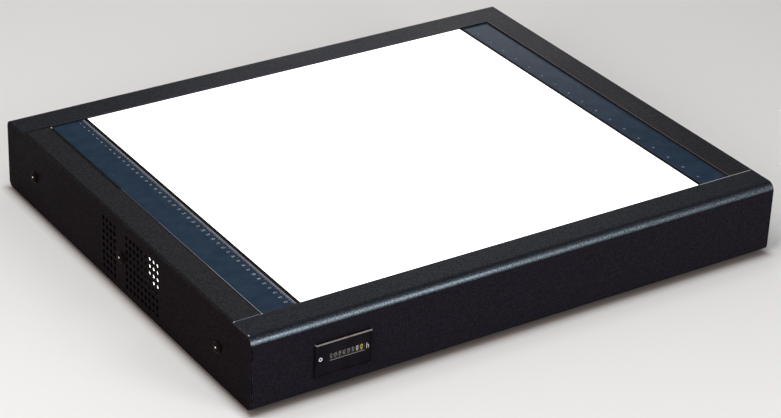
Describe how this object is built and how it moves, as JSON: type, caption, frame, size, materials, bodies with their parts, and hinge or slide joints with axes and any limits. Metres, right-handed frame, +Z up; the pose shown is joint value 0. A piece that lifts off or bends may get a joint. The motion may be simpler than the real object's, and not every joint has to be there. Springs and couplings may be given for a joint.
{
  "type": "light table",
  "caption": "Flat black desktop light table with a backlit opal glass top between scale bands, a front hour counter and side vents.",
  "frame": {"origin": "on the floor under the middle of the table", "axes": "+X to the right along the front face, +Y to the rear, +Z up; the hour counter is on the -Y face"},
  "size_m": [0.6388, 0.529, 0.084],
  "materials": {
    "black_powder_coat": "fine-textured powder coat, satin",
    "rubber": "matte",
    "gasket_rubber": "matte",
    "screw_steel": "zinc plated",
    "black_screw": "black oxide, semi-gloss",
    "white_enamel": "gloss white enamel",
    "opal_glass": "opal, lit from below",
    "scale_film": "printed film, satin",
    "lamp_tube": "white phosphor coating, lit",
    "lamp_cap": "drawn, satin",
    "white_plastic": "moulded",
    "ballast_steel": "white coil-coated steel",
    "counter_black": "moulded, fine texture",
    "clear_pane": "clear, glossy",
    "drum_black": "moulded with printed white digits",
    "drum_yellow": "moulded with printed digits",
    "motor_steel": "tinned can",
    "inlet_black": "moulded",
    "blade_nickel": "nickel plated",
    "fuse_glass": "clear tube",
    "wire_pvc": "PVC insulation",
    "wire_red": "PVC insulation"
  },
  "bodies": {
    "casing": {"front_profile": "black_powder_coat", "rear_profile": "black_powder_coat", "left_side_panel": "black_powder_coat", "right_side_panel": "black_powder_coat", "base_plate": "black_powder_coat", "rubber_feet": "rubber", "glass_gasket": "gasket_rubber", "base_screws": "screw_steel", "foot_screws": "screw_steel", "ballast_screws": "screw_steel", "side_standoffs": "screw_steel", "earth_stud": "screw_steel", "drum_axle": "screw_steel", "counter_clip": "screw_steel", "side_screws": "black_screw", "side_washers": "black_screw", "left_end_wall": "white_enamel", "right_end_wall": "white_enamel", "reflector_tray": "white_enamel", "glass_pane": "opal_glass", "left_scale_band": "scale_film", "right_scale_band": "scale_film", "left_lampholders": "white_plastic", "right_lampholders": "white_plastic", "terminal_block": "white_plastic", "front_ballast": "ballast_steel", "left_ballast": "ballast_steel", "middle_ballast": "ballast_steel", "counter_bezel": "counter_black", "counter_case": "counter_black", "counter_window": "clear_pane", "counter_motor": "motor_steel", "inlet_housing": "inlet_black", "inlet_blades": "blade_nickel", "mains_wires": "wire_pvc", "lamp_wires": "wire_pvc", "counter_wires": "wire_red"},
    "lamp_1": {"lamp_1_tube": "lamp_tube", "lamp_1_caps": "lamp_cap"},
    "lamp_2": {"lamp_2_tube": "lamp_tube", "lamp_2_caps": "lamp_cap"},
    "lamp_3": {"lamp_3_tube": "lamp_tube", "lamp_3_caps": "lamp_cap"},
    "lamp_4": {"lamp_4_tube": "lamp_tube", "lamp_4_caps": "lamp_cap"},
    "lamp_5": {"lamp_5_tube": "lamp_tube", "lamp_5_caps": "lamp_cap"},
    "lamp_6": {"lamp_6_tube": "lamp_tube", "lamp_6_caps": "lamp_cap"},
    "drum_1": {"digit_drum_1": "drum_black"},
    "drum_2": {"digit_drum_2": "drum_black"},
    "drum_3": {"digit_drum_3": "drum_black"},
    "drum_4": {"digit_drum_4": "drum_black"},
    "drum_5": {"digit_drum_5": "drum_black"},
    "drum_6": {"digit_drum_6": "drum_black"},
    "drum_7": {"digit_drum_7": "drum_black"},
    "drum_8": {"digit_drum_8": "drum_yellow"},
    "rocker": {"power_rocker": "inlet_black"},
    "drawer": {"fuse_drawer": "inlet_black", "fuse": "fuse_glass"}
  },
  "joints": [
    {"name": "lamp_1_twist", "type": "hinge", "parent": "casing", "child": "lamp_1", "pos_m": [0, -0.185, 0.043], "axis": [1, 0, 0], "range_deg": [0, 90]},
    {"name": "lamp_2_twist", "type": "hinge", "parent": "casing", "child": "lamp_2", "pos_m": [0, -0.111, 0.043], "axis": [1, 0, 0], "range_deg": [0, 90]},
    {"name": "lamp_3_twist", "type": "hinge", "parent": "casing", "child": "lamp_3", "pos_m": [0, -0.037, 0.043], "axis": [1, 0, 0], "range_deg": [0, 90]},
    {"name": "lamp_4_twist", "type": "hinge", "parent": "casing", "child": "lamp_4", "pos_m": [0, 0.037, 0.043], "axis": [1, 0, 0], "range_deg": [0, 90]},
    {"name": "lamp_5_twist", "type": "hinge", "parent": "casing", "child": "lamp_5", "pos_m": [0, 0.111, 0.043], "axis": [1, 0, 0], "range_deg": [0, 90]},
    {"name": "lamp_6_twist", "type": "hinge", "parent": "casing", "child": "lamp_6", "pos_m": [0, 0.185, 0.043], "axis": [1, 0, 0], "range_deg": [0, 90]},
    {"name": "drum_1_turn", "type": "hinge", "parent": "casing", "child": "drum_1", "pos_m": [-0.22865, -0.2516, 0.041], "axis": [1, 0, 0], "continuous": true},
    {"name": "drum_2_turn", "type": "hinge", "parent": "casing", "child": "drum_2", "pos_m": [-0.22375, -0.2516, 0.041], "axis": [1, 0, 0], "continuous": true},
    {"name": "drum_3_turn", "type": "hinge", "parent": "casing", "child": "drum_3", "pos_m": [-0.21885, -0.2516, 0.041], "axis": [1, 0, 0], "continuous": true},
    {"name": "drum_4_turn", "type": "hinge", "parent": "casing", "child": "drum_4", "pos_m": [-0.21395, -0.2516, 0.041], "axis": [1, 0, 0], "continuous": true},
    {"name": "drum_5_turn", "type": "hinge", "parent": "casing", "child": "drum_5", "pos_m": [-0.20905, -0.2516, 0.041], "axis": [1, 0, 0], "continuous": true},
    {"name": "drum_6_turn", "type": "hinge", "parent": "casing", "child": "drum_6", "pos_m": [-0.20415, -0.2516, 0.041], "axis": [1, 0, 0], "continuous": true},
    {"name": "drum_7_turn", "type": "hinge", "parent": "casing", "child": "drum_7", "pos_m": [-0.19925, -0.2516, 0.041], "axis": [1, 0, 0], "continuous": true},
    {"name": "drum_8_turn", "type": "hinge", "parent": "casing", "child": "drum_8", "pos_m": [-0.19435, -0.2516, 0.041], "axis": [1, 0, 0], "continuous": true},
    {"name": "rocker_tilt", "type": "hinge", "parent": "casing", "child": "rocker", "pos_m": [0.268, 0.258, 0.044], "axis": [1, 0, 0], "range_deg": [-16, 0]},
    {"name": "drawer_slide", "type": "slide", "parent": "casing", "child": "drawer", "axis": [0, 1, 0], "range_m": [0, 0.018]}
  ],
  "couplings": [
    {"joint": "drum_7_turn", "follows": "drum_8_turn", "ratio": 0.1},
    {"joint": "drum_6_turn", "follows": "drum_8_turn", "ratio": 0.01},
    {"joint": "drum_5_turn", "follows": "drum_8_turn", "ratio": 0.001},
    {"joint": "drum_4_turn", "follows": "drum_8_turn", "ratio": 0.0001},
    {"joint": "drum_3_turn", "follows": "drum_8_turn", "ratio": 0.00001},
    {"joint": "drum_2_turn", "follows": "drum_8_turn", "ratio": 0.000001},
    {"joint": "drum_1_turn", "follows": "drum_8_turn", "ratio": 0.0000001}
  ]
}
